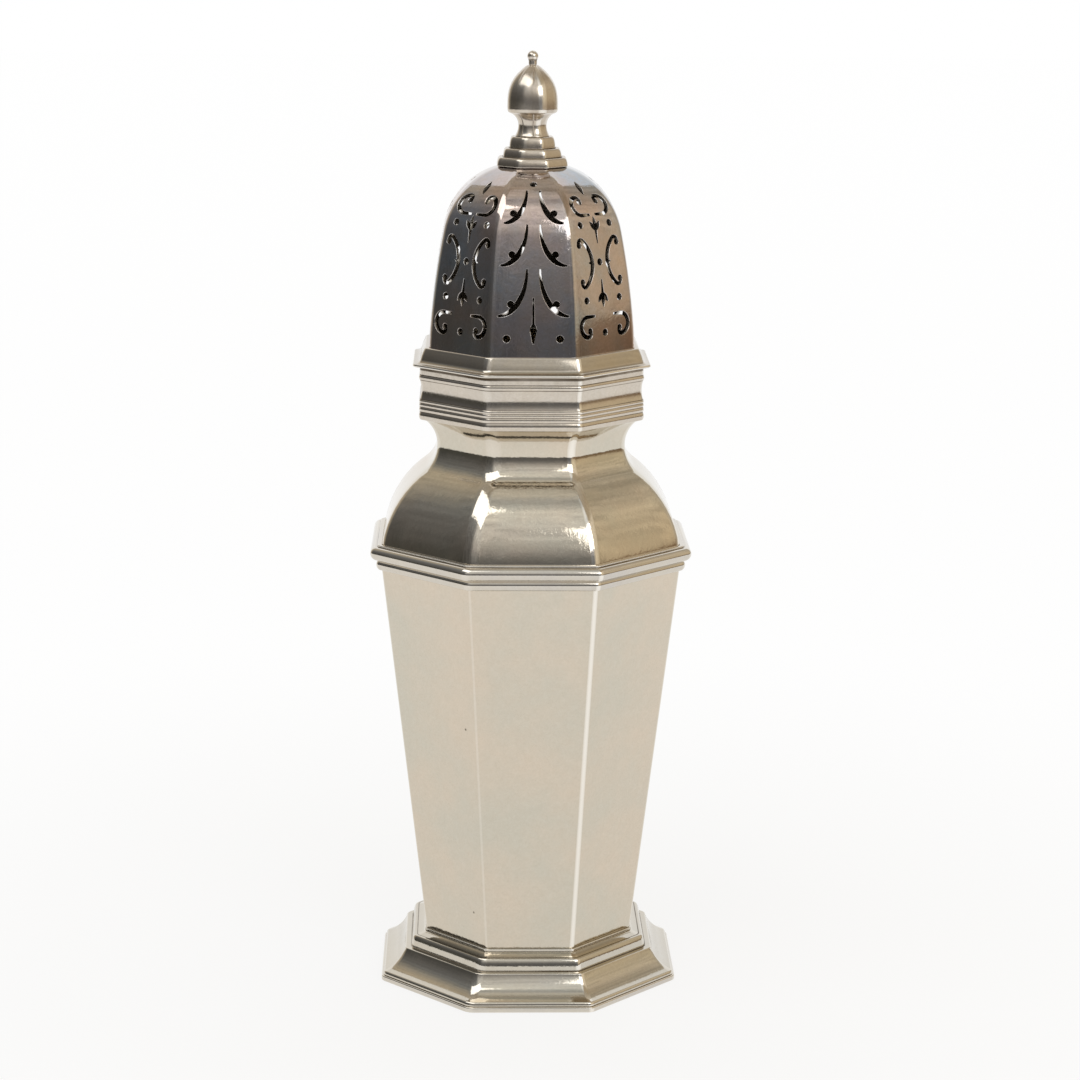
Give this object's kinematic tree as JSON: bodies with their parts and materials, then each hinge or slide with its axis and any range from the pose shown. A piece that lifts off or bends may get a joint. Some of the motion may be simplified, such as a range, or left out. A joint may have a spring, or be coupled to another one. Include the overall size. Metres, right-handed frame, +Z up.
{
  "type": "sugar caster",
  "caption": "Octagonal silver sugar caster with a tapering body, reeded mouldings and a pierced dome cover that lifts off to fill it.",
  "frame": {"origin": "centre of the foot's bottom face, on the surface the caster stands on", "axes": "+Z up along the caster's axis; -Y faces the viewer, square to one flat of the octagon"},
  "size_m": [0.068, 0.068, 0.2004],
  "materials": {
    "silver_sheet": "hand polished, fine scratches",
    "silver_wire": "polished",
    "silver_foot": "polished, worn",
    "silver_pierced": "polished, worn",
    "silver_cast": "polished casting",
    "silver_inner": "dull, unpolished"
  },
  "bodies": {
    "body": {"foot_rim": "silver_wire", "foot": "silver_foot", "base_plate": "silver_foot", "lower_body": "silver_sheet", "girdle_band": "silver_wire", "shoulder": "silver_sheet", "neck_collar": "silver_wire"},
    "cover": {"cover_sleeve": "silver_inner", "cover_flange": "silver_wire", "pierced_dome": "silver_pierced", "finial_plinth": "silver_cast", "finial_knop": "silver_cast", "finial_bead": "silver_cast", "finial_nut": "silver_inner"}
  },
  "joints": [
    {"name": "cover_lift", "type": "slide", "parent": "body", "child": "cover", "axis": [0, 0, 1], "range_m": [0, 0.06]}
  ]
}
